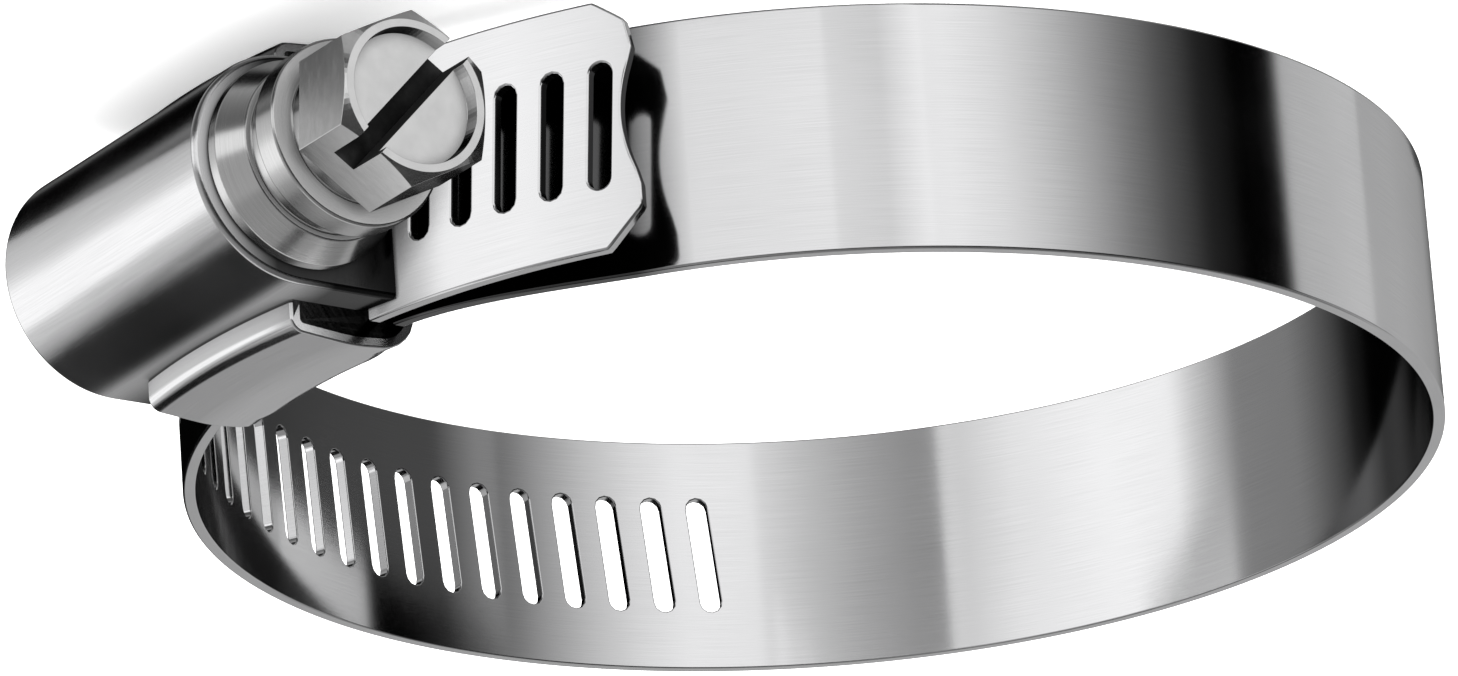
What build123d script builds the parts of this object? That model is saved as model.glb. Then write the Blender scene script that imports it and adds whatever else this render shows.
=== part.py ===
"""Worm-drive hose clamp: slotted band, screw housing, saddle and a captive hex-head worm screw.

The loop axis is Z and the origin is the centre of the hose bore. The housing stands on the -Y side
of the loop, the screw runs along X and its head points to -X. Places on the loop are given as clock
angles: degrees from -Y, growing towards -X, which is the way the free end travels when the screw
is tightened. All sizes are in millimetres.
"""

import os
from math import atan, atan2, cos, degrees, pi, radians, sin

from build123d import *

# ---------------------------------------------------------------- driving dimensions

# band
bore_radius = 31.0
band_width = 12.7
band_thickness = 0.65
slot_length = 6.4
slot_width = 1.15
slot_pitch = 2.54

# loop layout, in clock angles
fixed_end_angle = 40.0
junction_angle = 165.5
first_slot = 8
last_free_slot = -16
span_slots = (7, 3)
hinge_gap = 0.08
junction_gap = 0.5

# the two lifted arcs: the free end rides over the fixed end inside the housing
free_end_lift = 3.0
saddle_lift = 1.75
mesh_radius = 34.4
tail_length = 0.75
rear_angle = -8.4
front_angle = 13.4

# tail end: one clipped corner, one long chamfer and a shallow scoop between two lands
tail_flat = 1.9
clip_middle = (-0.75, 0.85)
clip_end = (-0.35, 1.05)
scoop_start = 2.7
scoop_middle = (-0.75, 5.8)
scoop_stop = 3.4
cut_reach = 3.0

# saddle
saddle_thickness = 0.6
saddle_inner_radius = 31.88
saddle_half_width = 7.8
saddle_back = 3.3
saddle_front = -9.2
saddle_bend = 1.5
lip_top_radius = 38.85
lip_edge = 5.97
lip_bend = 0.45
tight_bend = 0.1
sharp_bend = 0.02
revolve_reach = 17.0
seat_clearance = 0.02

# housing
housing_thickness = 0.7
barrel_radius = 5.9
axis_distance = 38.0
barrel_back = 6.5
barrel_front = -11.3
front_hole_radius = 4.35
back_hole_radius = 4.4
foot_inner_radius = 34.75
foot_thickness = 0.6
foot_half_width = 7.1
foot_top_radius = 38.2
foot_clearance = 0.2
skirt_end = -31.75
barrel_rim_roll = 0.45

# screw
worm_crest_radius = 4.95
worm_root_radius = 4.15
thread_crest_width = 0.55
thread_root_width = 1.15
neck_radius = 4.2
collar_radius = 5.25
flange_radius = 4.8
hex_across_flats = 7.94
recess_radius = 3.45
recess_depth = 0.75
driver_slot_width = 1.3
driver_slot_depth = 2.4
driver_slot_angle = 47.0
hex_angle = 26.0
hex_core_inset = 0.3
chamfer_start = 3.875
chamfer_slope = 0.55
chamfer_reach = 1.5
neck_fillet = 0.25
collar_face = 0.35
collar_foot = 0.15
collar_rim = 0.15
collar_rim_front = 1.1
collar_rim_flat = 0.8
collar_rim_back = 0.4
shoulder_bevel = 0.3
shoulder_length = 0.7
thread_start_length = 0.8
tip_length = 0.7
tip_bevel = 0.9
root_bite = 0.15

# places along the screw, as X
screw_tip = 5.4
thread_start = 4.6
shoulder_front = -10.5
collar_back = -11.4
collar_front = -13.8
flange_back = -15.0
flange_front = -16.6
hex_back = -17.7
head_end = -21.8

# ---------------------------------------------------------------- worked-out values

barrel_length = barrel_back - barrel_front
middle_radius = bore_radius + band_thickness / 2
free_pitch_angle = degrees(slot_pitch / mesh_radius)
span_pitch_angle = degrees(slot_pitch / middle_radius)
join_angle = (last_free_slot - 0.5) * free_pitch_angle
free_radius = middle_radius + free_end_lift
fixed_inner_radius = saddle_inner_radius + saddle_thickness + seat_clearance
helix_angle = degrees(atan(slot_pitch / (2 * pi * worm_crest_radius)))
hinge_trim = degrees(hinge_gap / 2 / middle_radius)


def outward(angle):
    """Unit vector away from the loop axis at a clock angle."""
    return Vector(-sin(radians(angle)), -cos(radians(angle)), 0)


def forward(angle):
    """Unit vector along the band at a clock angle, the way the free end is pulled."""
    return Vector(-cos(radians(angle)), sin(radians(angle)), 0)


loop_center = Vector(0, 0, 0)
free_center = outward(join_angle) * -free_end_lift
saddle_center = outward(join_angle) * -saddle_lift
# turned half a turn, so that the band's surfaces have their seams where there are no slots
strip_plane = Plane((0, 0, -band_width / 2), x_dir=(-1, 0, 0), z_dir=(0, 0, 1))
screw_axis = Axis((0, -axis_distance, 0), (1, 0, 0))


def arc(center, radius, start, stop):
    """Arc between two clock angles, in the current line builder."""
    return CenterArc(center, radius, 270 - start, start - stop)


def strip_outline(center, inner_radius, start, stop):
    """Edge view of a piece of band on an arc, for the strip plane, between two clock angles."""
    with BuildSketch() as outline:
        with BuildLine():
            inner = CenterArc(-center, inner_radius, 90 - start, start - stop)
            outer = CenterArc(-center, inner_radius + band_thickness, 90 - start, start - stop)
            Line(inner @ 0, outer @ 0)
            Line(inner @ 1, outer @ 1)
        make_face()
    return outline.sketch


def tangent_plane(center, radius, angle):
    """Plane that touches the band at a clock angle: X forward, Y along -Z, normal outward."""
    return Plane(center + outward(angle) * radius, x_dir=forward(angle), z_dir=outward(angle))


def slot_cutter(center, radius, angle):
    """One band slot, slanted to match the worm's lead."""
    with BuildPart() as cutter:
        with BuildSketch(tangent_plane(center, radius, angle)):
            SlotOverall(slot_length, slot_width, rotation=90 - helix_angle)
        extrude(amount=2 * band_thickness, both=True)
    return cutter.part


def revolve_plane(center, angle):
    """Plane through a lifted arc's axis, with X outward at a clock angle and Y along Z."""
    across = outward(angle).cross(Vector(0, 0, 1))
    return Plane(center, x_dir=outward(angle), z_dir=across)


# ---------------------------------------------------------------- band: fixed end

with BuildPart() as band_fixed_end:
    with BuildSketch(Plane.XY.offset(-band_width / 2)):
        with BuildLine():
            lines = []
            for step in (0, band_thickness):
                seat = arc(saddle_center, fixed_inner_radius + step, rear_angle, front_angle)
                landing = outward(fixed_end_angle) * (bore_radius + step)
                Spline(seat @ 1, landing, tangents=(forward(front_angle), forward(fixed_end_angle)))
                lines.append((seat @ 0, landing))
            (inner_start, inner_stop), (outer_start, outer_stop) = lines
            Line(inner_start, outer_start)
            Line(inner_stop, outer_stop)
        make_face()
    extrude(amount=band_width)
band_fixed_end.part.label = "band_fixed_end"

# ---------------------------------------------------------------- band: free end with its tail

tip_angle = first_slot * free_pitch_angle + degrees((tail_length + slot_width) / free_radius)
corner = band_width / 2
free_inner_radius = free_radius - band_thickness / 2

with BuildPart() as band_free_end:
    with BuildSketch(strip_plane):
        add(strip_outline(free_center, free_inner_radius, join_angle + hinge_trim, tip_angle))
    extrude(amount=band_width)
    # everything past the tail's outline is cut away
    with BuildSketch(tangent_plane(free_center, free_radius, tip_angle)):
        with BuildLine():
            Polyline(
                (-tail_flat, corner),
                (clip_middle[0], corner - clip_middle[1]),
                (clip_end[0], corner - clip_end[1]),
                (0, corner - scoop_start),
            )
            ThreePointArc(
                (0, corner - scoop_start),
                (scoop_middle[0], corner - scoop_middle[1]),
                (0, scoop_stop - corner),
            )
            Polyline(
                (0, scoop_stop - corner),
                (0, tail_flat - corner),
                (-tail_flat, -corner),
                (-tail_flat, -corner - cut_reach),
                (cut_reach, -corner - cut_reach),
                (cut_reach, corner + cut_reach),
                (-tail_flat, corner + cut_reach),
                (-tail_flat, corner),
            )
        make_face()
    extrude(amount=cut_reach, both=True, mode=Mode.SUBTRACT)
    slot_numbers = range(last_free_slot, first_slot + 1)
    cutters = [slot_cutter(free_center, free_radius, n * free_pitch_angle) for n in slot_numbers]
    add(cutters, mode=Mode.SUBTRACT)
band_free_end.part.label = "band_free_end"

# ---------------------------------------------------------------- band: the flexing loop

fixed_side = [
    fixed_end_angle + step * (junction_angle - fixed_end_angle) / 4 for step in range(5)
]
slotted_side = [360 + join_angle, 360 + join_angle - span_slots[0] * span_pitch_angle]
slotted_side += [
    slotted_side[1] + step * (junction_angle - slotted_side[1]) / 3 for step in (1, 2, 3)
]
junction_trim = degrees(junction_gap / 2 / middle_radius)

spans = []
for start, stop in zip(fixed_side, fixed_side[1:]):
    trim = junction_trim if stop == junction_angle else hinge_trim
    spans.append((start + hinge_trim, stop - trim, []))
for index, (stop, start) in enumerate(reversed(list(zip(slotted_side, slotted_side[1:])))):
    trim = junction_trim if index == 0 else hinge_trim
    place = 3 - index
    count = span_slots[place] if place < len(span_slots) else 0
    slots = [stop - (number + 0.5) * span_pitch_angle for number in range(count)]
    spans.append((start + trim, stop - hinge_trim, slots))

band_spans = []
for number, (start, stop, slots) in enumerate(spans, 1):
    with BuildPart() as span:
        with BuildSketch(strip_plane):
            add(strip_outline(loop_center, bore_radius, start, stop))
        extrude(amount=band_width)
        if slots:
            cutters = [slot_cutter(loop_center, middle_radius, angle) for angle in slots]
            add(cutters, mode=Mode.SUBTRACT)
    span.part.label = f"band_span_{number}"
    band_spans.append(span)

# ---------------------------------------------------------------- saddle


def section(low, high, half_width, low_bend, high_bend):
    """Rectangle with rounded corners across the band: X is the radius and Y runs along Z."""
    with BuildSketch() as profile:
        with Locations(((low + high) / 2, 0)):
            Rectangle(high - low, 2 * half_width)
        fillet(profile.vertices().group_by(Axis.X)[0], low_bend)
        fillet(profile.vertices().group_by(Axis.X)[-1], high_bend)
    return profile.sketch


def turned(profile):
    """The profile swept about the saddle's axis, past both ends of the housing."""
    with BuildPart() as ring:
        with BuildSketch(revolve_plane(saddle_center, revolve_reach)):
            add(profile)
        revolve(axis=Axis(saddle_center, (0, 0, 1)), revolution_arc=2 * revolve_reach)
    return ring.part


def between(front, back, half_width):
    """Block that keeps what lies between two places along the screw."""
    with BuildPart() as block:
        with Locations(((front + back) / 2, -axis_distance, 0)):
            Box(back - front, axis_distance, 2 * half_width)
    return block.part


saddle_outer = section(
    saddle_inner_radius, lip_top_radius, saddle_half_width, saddle_bend, lip_bend
)
saddle_inner = section(
    saddle_inner_radius + saddle_thickness,
    lip_top_radius - saddle_thickness,
    saddle_half_width - saddle_thickness,
    saddle_bend - saddle_thickness,
    tight_bend,
)
lip_opening = section(
    lip_top_radius - 2 * saddle_thickness,
    lip_top_radius + saddle_thickness,
    lip_edge,
    sharp_bend,
    tight_bend,
)

with BuildPart() as saddle:
    add(turned(saddle_outer))
    add(turned(saddle_inner), mode=Mode.SUBTRACT)
    add(turned(lip_opening), mode=Mode.SUBTRACT)
    add(between(saddle_front, saddle_back, barrel_length), mode=Mode.INTERSECT)
saddle.part.label = "saddle"

# ---------------------------------------------------------------- housing

foot_outer = section(
    foot_inner_radius, foot_top_radius, foot_half_width, foot_thickness, tight_bend
)
foot_inner = section(
    foot_inner_radius + foot_thickness,
    foot_top_radius + foot_thickness,
    foot_half_width - foot_thickness,
    tight_bend,
    tight_bend,
)


def barrel_outline(radius):
    """End view of the barrel: round over the screw, with straight skirts down to the band."""
    with BuildSketch() as outline:
        with Locations((-axis_distance, 0)):
            Circle(radius)
        with Locations(((skirt_end - axis_distance) / 2, 0)):
            Rectangle(skirt_end + axis_distance, 2 * radius)
    return outline.sketch


with BuildPart() as housing:
    # hooked feet
    add(turned(foot_outer))
    add(turned(foot_inner), mode=Mode.SUBTRACT)
    add(
        between(saddle_front + foot_clearance, saddle_back - foot_clearance, saddle_half_width),
        mode=Mode.INTERSECT,
    )
    # barrel and skirts
    with BuildSketch(Plane.YZ.offset(barrel_front)):
        add(barrel_outline(barrel_radius))
    extrude(amount=barrel_length)
    with BuildSketch(Plane.YZ.offset(barrel_front + housing_thickness)):
        add(barrel_outline(barrel_radius - housing_thickness))
    extrude(amount=barrel_length - 2 * housing_thickness, mode=Mode.SUBTRACT)
    # screw holes through the two end walls
    for wall, radius in ((barrel_front, front_hole_radius), (barrel_back, back_hole_radius)):
        with BuildSketch(Plane.YZ.offset(wall)):
            with Locations((-axis_distance, 0)):
                Circle(radius)
        extrude(amount=2 * housing_thickness, both=True, mode=Mode.SUBTRACT)
    # everything stops just above the band
    with BuildSketch(Plane.XY):
        with Locations(saddle_center):
            Circle(foot_inner_radius)
    extrude(amount=barrel_length, both=True, mode=Mode.SUBTRACT)
    # rolled rims of the barrel's two ends
    rims = housing.faces().filter_by(Axis.X).sort_by(Axis.X)
    outer_rims = [
        edge
        for face in (rims[0], rims[-1])
        for edge in face.outer_wire().edges().filter_by(GeomType.CIRCLE)
        if abs(edge.radius - barrel_radius) < housing_thickness
    ]
    fillet(outer_rims, barrel_rim_roll)
housing.part.label = "housing"

# ---------------------------------------------------------------- screw

thread_height = worm_crest_radius - worm_root_radius
hex_core_radius = hex_across_flats / 2 - hex_core_inset

# the thread's crest faces the middle of a band slot where the band runs parallel to the screw
thread_front = shoulder_front + shoulder_length
thread_helix = Helix(
    slot_pitch,
    thread_start - thread_front,
    worm_root_radius,
    center=(thread_front, -axis_distance, 0),
    direction=(1, 0, 0),
)
helix_start = thread_helix @ 0
start_angle = degrees(atan2(helix_start.Z, helix_start.Y + axis_distance))
wanted_angle = 360 * (thread_front - free_center.X) / slot_pitch
thread_path = thread_helix.rotate(screw_axis, wanted_angle - start_angle)
thread_outward = Vector(0, (thread_path @ 0).Y + axis_distance, (thread_path @ 0).Z).normalized()
thread_plane = Plane(thread_path @ 0, x_dir=thread_outward, z_dir=thread_path % 0)

with BuildPart() as screw:
    # everything round, turned about the screw's axis
    with BuildSketch(Plane.XY):
        with BuildLine():
            Polyline(
                (head_end, -axis_distance),
                (head_end, -axis_distance - hex_core_radius),
                (flange_front, -axis_distance - hex_core_radius),
                (flange_front, -axis_distance - flange_radius),
                (flange_back, -axis_distance - flange_radius),
                (flange_back + neck_fillet, -axis_distance - neck_radius),
                (collar_front - collar_foot, -axis_distance - neck_radius),
                (collar_front, -axis_distance - neck_radius - collar_face),
                (collar_back - collar_rim_front, -axis_distance - collar_radius + collar_rim),
                (collar_back - collar_rim_flat, -axis_distance - collar_radius),
                (collar_back - collar_rim_back, -axis_distance - collar_radius),
                (collar_back, -axis_distance - collar_radius + collar_rim_back),
                (collar_back, -axis_distance - neck_radius),
                (shoulder_front, -axis_distance - neck_radius),
                (shoulder_front, -axis_distance - worm_crest_radius + shoulder_bevel),
                (shoulder_front + shoulder_bevel, -axis_distance - worm_crest_radius),
                (thread_front, -axis_distance - worm_crest_radius),
                (thread_front + thread_start_length, -axis_distance - worm_root_radius),
                (screw_tip - tip_length, -axis_distance - worm_root_radius),
                (screw_tip, -axis_distance - worm_root_radius + tip_bevel),
                (screw_tip, -axis_distance),
                close=True,
            )
        make_face()
    revolve(axis=screw_axis)
    # hexagon on a short neck, chamfered at its free end
    with BuildSketch(Plane.YZ.offset(hex_back)):
        with Locations((-axis_distance, 0)):
            RegularPolygon(hex_across_flats / 2, 6, major_radius=False, rotation=-hex_angle)
    extrude(amount=head_end - hex_back)
    with BuildSketch(Plane.XY):
        with BuildLine():
            Polyline(
                (head_end, -axis_distance - chamfer_start),
                (head_end, -axis_distance - chamfer_start - chamfer_reach),
                (
                    head_end + chamfer_reach * chamfer_slope,
                    -axis_distance - chamfer_start - chamfer_reach,
                ),
                close=True,
            )
        make_face()
    revolve(axis=screw_axis, mode=Mode.SUBTRACT)
    # round recess in the end face, crossed by the driver slot
    with BuildSketch(Plane.YZ.offset(head_end)):
        with Locations((-axis_distance, 0)):
            Circle(recess_radius)
    extrude(amount=recess_depth, mode=Mode.SUBTRACT)
    with BuildSketch(Plane.YZ.offset(head_end)):
        with Locations((-axis_distance, 0)):
            Rectangle(4 * flange_radius, driver_slot_width, rotation=-driver_slot_angle)
    extrude(amount=driver_slot_depth, mode=Mode.SUBTRACT)
    # worm thread
    with BuildSketch(thread_plane):
        with BuildLine():
            Polyline(
                (-root_bite, -thread_root_width / 2),
                (thread_height, -thread_crest_width / 2),
                (thread_height, thread_crest_width / 2),
                (-root_bite, thread_root_width / 2),
                close=True,
            )
        make_face()
    sweep(path=thread_path, is_frenet=True)
screw.part.label = "screw"

for piece in (band_fixed_end, band_free_end, *band_spans, saddle, housing, screw):
    print(piece.part.label, round(piece.part.volume, 2), piece.part.is_valid, len(piece.part.solids()))

os.makedirs("parts", exist_ok=True)
export_step(band_fixed_end.part, "parts/band_fixed_end.step")
export_step(band_free_end.part, "parts/band_free_end.step")
for span in band_spans:
    export_step(span.part, f"parts/{span.part.label}.step")
export_step(saddle.part, "parts/saddle.step")
export_step(housing.part, "parts/housing.step")
export_step(screw.part, "parts/screw.step")
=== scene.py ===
"""Looks of the hose clamp: slotted strip steel, a pressed housing and saddle, and a turned screw.

Lengths are in millimetres until a mesh is written. The loop axis is Z, the screw runs along X with
its head at -X, and clock angles go from -Y towards -X, the way the free end is pulled.
"""
from math import atan2, ceil, cos, degrees, pi, radians, sin, sqrt, tan

import bmesh
import bpy
from mathutils import Matrix, Vector


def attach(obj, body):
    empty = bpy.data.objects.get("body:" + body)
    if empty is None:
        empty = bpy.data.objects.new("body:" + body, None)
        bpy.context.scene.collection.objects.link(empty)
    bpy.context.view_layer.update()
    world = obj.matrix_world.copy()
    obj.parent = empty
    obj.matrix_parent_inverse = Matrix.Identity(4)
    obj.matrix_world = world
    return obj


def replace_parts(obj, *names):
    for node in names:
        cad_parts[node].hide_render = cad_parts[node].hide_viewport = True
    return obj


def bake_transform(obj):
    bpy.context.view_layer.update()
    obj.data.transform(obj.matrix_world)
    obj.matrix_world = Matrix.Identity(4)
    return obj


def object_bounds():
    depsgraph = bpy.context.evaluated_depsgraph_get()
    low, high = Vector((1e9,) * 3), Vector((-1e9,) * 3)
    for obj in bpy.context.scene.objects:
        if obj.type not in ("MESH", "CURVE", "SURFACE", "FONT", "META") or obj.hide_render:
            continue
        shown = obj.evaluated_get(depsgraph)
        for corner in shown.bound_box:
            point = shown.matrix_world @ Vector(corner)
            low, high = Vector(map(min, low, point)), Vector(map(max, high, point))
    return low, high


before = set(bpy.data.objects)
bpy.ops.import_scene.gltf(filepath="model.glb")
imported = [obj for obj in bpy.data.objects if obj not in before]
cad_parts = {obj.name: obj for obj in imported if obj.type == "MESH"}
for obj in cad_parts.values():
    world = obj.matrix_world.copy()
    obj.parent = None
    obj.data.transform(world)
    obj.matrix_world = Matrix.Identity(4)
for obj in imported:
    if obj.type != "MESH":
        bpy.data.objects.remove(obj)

CAD_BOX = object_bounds()
MM = 0.001
scene = bpy.context.scene

# ---------------- driving sizes, as in the CAD part

BORE_RADIUS = 31.0
BAND_WIDTH = 12.7
BAND_THICKNESS = 0.65
SLOT_LENGTH = 6.4
SLOT_WIDTH = 1.15
SLOT_PITCH = 2.54
FIXED_END_ANGLE = 40.0
JUNCTION_ANGLE = 165.5
FIRST_SLOT = 8
LAST_FREE_SLOT = -16
SPAN_SLOTS = (7, 3)
FREE_END_LIFT = 3.0
SADDLE_LIFT = 1.75
MESH_RADIUS = 34.4
TAIL_LENGTH = 0.75
SADDLE_THICKNESS = 0.6
SADDLE_INNER_RADIUS = 31.88
SADDLE_HALF_WIDTH = 7.8
SADDLE_BACK = 3.3
SADDLE_FRONT = -9.2
SADDLE_BEND = 1.5
LIP_TOP_RADIUS = 38.85
LIP_EDGE = 5.97
HOUSING_THICKNESS = 0.7
BARREL_RADIUS = 5.9
AXIS_DISTANCE = 38.0
BARREL_BACK = 6.5
BARREL_FRONT = -11.3
FRONT_HOLE_RADIUS = 4.35
BACK_HOLE_RADIUS = 4.4
FOOT_INNER_RADIUS = 34.75
FOOT_THICKNESS = 0.6
FOOT_HALF_WIDTH = 7.1
FOOT_TOP_RADIUS = 38.2
WORM_CREST_RADIUS = 4.95
WORM_ROOT_RADIUS = 4.15
THREAD_CREST_WIDTH = 0.55
THREAD_ROOT_WIDTH = 1.15
NECK_RADIUS = 4.2
COLLAR_RADIUS = 5.25
FLANGE_RADIUS = 4.8
HEX_ACROSS_FLATS = 7.94
RECESS_RADIUS = 3.45
RECESS_DEPTH = 0.75
DRIVER_SLOT_WIDTH = 1.3
DRIVER_SLOT_DEPTH = 2.4
DRIVER_SLOT_ANGLE = 47.0
HEX_ANGLE = 26.0
SCREW_TIP = 5.4
THREAD_START = 4.6
SHOULDER_FRONT = -10.5
COLLAR_BACK = -11.4
COLLAR_FRONT = -13.8
FLANGE_BACK = -15.0
FLANGE_FRONT = -16.6
HEX_BACK = -17.7
HEAD_END = -21.8

MIDDLE_RADIUS = BORE_RADIUS + BAND_THICKNESS / 2
HALF_WIDTH = BAND_WIDTH / 2
FREE_RADIUS = MIDDLE_RADIUS + FREE_END_LIFT
FREE_PITCH = degrees(SLOT_PITCH / MESH_RADIUS)
SPAN_PITCH = degrees(SLOT_PITCH / MIDDLE_RADIUS)
JOIN_ANGLE = 360 + (LAST_FREE_SLOT - 0.5) * FREE_PITCH
HELIX = atan2(SLOT_PITCH, 2 * pi * WORM_CREST_RADIUS)
FIXED_RADIUS = SADDLE_INNER_RADIUS + SADDLE_THICKNESS + BAND_THICKNESS / 2
Z_AXIS = Vector((0, 0, 1))


def outward(angle):
    """Unit vector away from the loop axis at a clock angle."""
    return Vector((-sin(radians(angle)), -cos(radians(angle)), 0))


def forward(angle):
    """Unit vector along the band at a clock angle."""
    return Vector((-cos(radians(angle)), sin(radians(angle)), 0))


FREE_CENTER = outward(JOIN_ANGLE) * -FREE_END_LIFT
SADDLE_CENTER = outward(JOIN_ANGLE) * -SADDLE_LIFT

# ---------------- camera

CLOCK_OF_VIEW = 53.8
ELEVATION = 19.9
ROLL = 180 - 4.37
DISTANCE = 566.4
LENS = 275.5
SENSOR = 36.0
AIM_RIGHT = -4.22
AIM_UP = 0.77


def add_camera():
    """The camera looks across the loop from just above it and is rolled nearly upside down."""
    turn, tilt, roll = radians(CLOCK_OF_VIEW), radians(ELEVATION), radians(ROLL)
    toward = Vector((-sin(turn) * cos(tilt), -cos(turn) * cos(tilt), sin(tilt)))
    level = Z_AXIS.cross(toward).normalized()
    upright = toward.cross(level)
    right = level * cos(roll) + upright * sin(roll)
    up = upright * cos(roll) - level * sin(roll)
    data = bpy.data.cameras.new("camera")
    data.lens = LENS
    data.sensor_width = SENSOR
    data.clip_start = 0.05
    data.clip_end = 20
    camera = bpy.data.objects.new("camera", data)
    place = toward * DISTANCE
    back = (place - right * AIM_RIGHT - up * AIM_UP).normalized()
    side = up.cross(back).normalized()
    turned = Matrix((side, back.cross(side), back)).transposed().to_4x4()
    camera.matrix_world = Matrix.Translation(place * MM) @ turned
    scene.collection.objects.link(camera)
    scene.camera = camera


add_camera()

# ---------------- mesh tools


class Skin:
    """Gathers the points, true surface normals, strip coordinates and faces of one piece."""

    def __init__(self):
        self.points, self.normals, self.coordinates, self.faces = [], [], [], []

    def add(self, point, normal, coordinate=(0, 0)):
        """One point. Returns its number."""
        self.points.append(Vector(point))
        self.normals.append(Vector(normal).normalized())
        self.coordinates.append(coordinate)
        return len(self.points) - 1

    def strip(self, one, two, closed=False):
        """Quads between two rows of point numbers."""
        count = len(one)
        for i in range(count if closed else count - 1):
            j = (i + 1) % count
            self.faces.append((one[i], one[j], two[j], two[i]))

    def rows(self, rows, closed=False):
        """Quads between every two neighbouring rows."""
        for one, two in zip(rows, rows[1:]):
            self.strip(one, two, closed)

    def build(self, name, material):
        """The finished piece: faces turned outward and shaded by the true normals."""
        mesh = bpy.data.meshes.new(name)
        faces = []
        for face in self.faces:
            corners = [self.points[i] for i in face]
            across = sum((a.cross(b) for a, b in zip(corners, corners[1:] + corners[:1])), Vector())
            outer = sum((self.normals[i] for i in face), Vector())
            if across.length < 1e-9:
                continue
            faces.append(face if across.dot(outer) >= 0 else tuple(reversed(face)))
        mesh.from_pydata([p * MM for p in self.points], [], faces)
        layer = mesh.uv_layers.new(name="strip")
        for loop in mesh.loops:
            layer.data[loop.index].uv = self.coordinates[loop.vertex_index]
        mesh.shade_smooth()
        mesh.normals_split_custom_set_from_vertices(self.normals)
        mesh.materials.append(material)
        piece = bpy.data.objects.new(name, mesh)
        scene.collection.objects.link(piece)
        return piece


def rounded(corners, radii, steps):
    """An open line with its corners rounded, as (a, b, normal a, normal b), normals to the left."""
    count = len(corners)
    if not hasattr(radii, "__len__"):
        radii = [radii] * count
    out = []
    for i, (a, b) in enumerate(corners):
        here = Vector((a, b))
        if i in (0, count - 1):
            other = Vector(corners[1 if i == 0 else -2])
            along = (other - here if i == 0 else here - other).normalized()
            out.append((a, b, -along.y, along.x))
            continue
        before, after = Vector(corners[i - 1]), Vector(corners[i + 1])
        one, two = (here - before).normalized(), (after - here).normalized()
        turn = atan2(one.x * two.y - one.y * two.x, one.dot(two))
        if abs(turn) < 1e-4 or radii[i] <= 0:
            out.append((a, b, -(one.y + two.y) / 2, (one.x + two.x) / 2))
            continue
        reach = radii[i] * tan(abs(turn) / 2)
        reach = min(reach, 0.48 * (here - before).length, 0.48 * (after - here).length)
        radius = reach / tan(abs(turn) / 2)
        side = 1 if turn > 0 else -1
        start = here - one * reach
        center = start + Vector((-one.y, one.x)) * radius * side
        for step in range(steps + 1):
            spin = turn * step / steps
            along = Vector((one.x * cos(spin) - one.y * sin(spin), one.x * sin(spin) + one.y * cos(spin)))
            left = Vector((-along.y, along.x))
            point = center - left * radius * side
            out.append((point.x, point.y, left.x, left.y))
    return out


def spaced(start, stop, count):
    """Evenly spaced numbers from start to stop, both included."""
    return [start + (stop - start) * i / count for i in range(count + 1)]


# ---------------- the band's spine

SEAT_FRONT_ANGLE = 13.4
REAR_ANGLE = -8.4
SEAT_FRONT = SADDLE_CENTER + outward(SEAT_FRONT_ANGLE) * FIXED_RADIUS
LANDING = outward(FIXED_END_ANGLE) * MIDDLE_RADIUS
RISE = (LANDING - SEAT_FRONT).length


def spine(angle):
    """Middle of the strip at a clock angle that keeps counting round: point, outward, mm per degree."""
    if angle >= JOIN_ANGLE:
        return FREE_CENTER + outward(angle) * FREE_RADIUS, outward(angle), radians(FREE_RADIUS)
    if angle >= FIXED_END_ANGLE:
        return outward(angle) * MIDDLE_RADIUS, outward(angle), radians(MIDDLE_RADIUS)
    if angle <= SEAT_FRONT_ANGLE:
        return SADDLE_CENTER + outward(angle) * FIXED_RADIUS, outward(angle), radians(FIXED_RADIUS)
    t = (angle - SEAT_FRONT_ANGLE) / (FIXED_END_ANGLE - SEAT_FRONT_ANGLE)
    leave, arrive = forward(SEAT_FRONT_ANGLE) * RISE, forward(FIXED_END_ANGLE) * RISE
    point = (
        SEAT_FRONT * (2 * t**3 - 3 * t**2 + 1) + leave * (t**3 - 2 * t**2 + t)
        + LANDING * (3 * t**2 - 2 * t**3) + arrive * (t**3 - t**2)
    )
    way = (
        SEAT_FRONT * (6 * t**2 - 6 * t) + leave * (3 * t**2 - 4 * t + 1)
        + LANDING * (6 * t - 6 * t**2) + arrive * (3 * t**2 - 2 * t)
    )
    speed = way.length / (FIXED_END_ANGLE - SEAT_FRONT_ANGLE)
    way.normalize()
    return point, Vector((-way.y, way.x, 0)), speed


def on_strip(skin, angle, shift, depth, z, normal):
    """Adds a point of the strip: shift along it, depth outward; the normal is along, outward, Z."""
    speed = spine(angle)[2]
    point, out, _ = spine(angle + shift / speed)
    along = Vector((out.y, -out.x, 0))
    aim = along * normal[0] + out * normal[1] + Z_AXIS * normal[2]
    place = radians(angle) * MIDDLE_RADIUS + shift
    return skin.add(point + out * depth + Z_AXIS * z, aim, (place, z))


TOP_RIM = 0.13
UNDER_RIM = 0.07
CELL_REACH = SLOT_LENGTH / 2 + 0.55
HALF_THICKNESS = BAND_THICKNESS / 2
SIDE_STEPS = 8
END_STEPS = 6
PLAIN_STEP = 0.7
NEAR = 1e-6
TAIL_SIDE_STEPS = 44
TAIL_END_STEPS = 14
TAIL_ROUNDING = 0.22
TAIL_CHAMFER = 1.9
# the softer corner, as (short of the tip, in from the edge)
LOW_CORNER = ((1.85, 0), (0.72, 0.82), (0.3, 1.15))
SCOOP_DEPTH = 0.78
SCOOP_ROUNDNESS = 0.85
SCOOP_START = 2.75 - HALF_WIDTH
SCOOP_WIDTH = 6.55
# shares of the way from the last slot's rim to the tail's outline
TAIL_ROWS = (0.0, 0.1, 0.22, 0.36, 0.5, 0.64, 0.78, 0.9, 1.0)


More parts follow.
